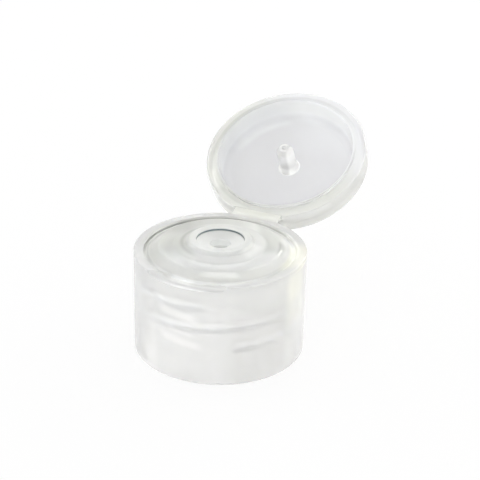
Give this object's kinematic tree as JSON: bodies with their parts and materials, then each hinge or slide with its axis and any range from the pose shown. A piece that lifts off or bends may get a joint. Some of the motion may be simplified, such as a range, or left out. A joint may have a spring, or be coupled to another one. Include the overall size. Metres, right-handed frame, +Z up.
{
  "type": "flip top cap",
  "caption": "Snap-top dispensing cap standing open: smooth threaded skirt, stepped deck with a raised nozzle, and a shallow hinged lid with a plug pin.",
  "frame": {"origin": "centre of the skirt's open mouth, on the thread axis in the plane of the skirt's bottom edge", "axes": "+Z up along the thread axis from the mouth to the nozzle, +Y from the axis towards the hinge and the open lid, +X along the hinge line"},
  "size_m": [0.0242, 0.0467, 0.0267],
  "materials": {
    "natural_polypropylene": "satin"
  },
  "bodies": {
    "body": {"cap_body": "natural_polypropylene", "living_hinge": "natural_polypropylene"},
    "lid": {"flip_lid": "natural_polypropylene"}
  },
  "joints": [
    {"name": "lid_hinge", "type": "hinge", "parent": "body", "child": "lid", "pos_m": [0, 0.01212, 0.0149], "axis": [-1, 0, 0], "range_deg": [-150.4, 29.6], "deforming": ["living_hinge"]}
  ]
}
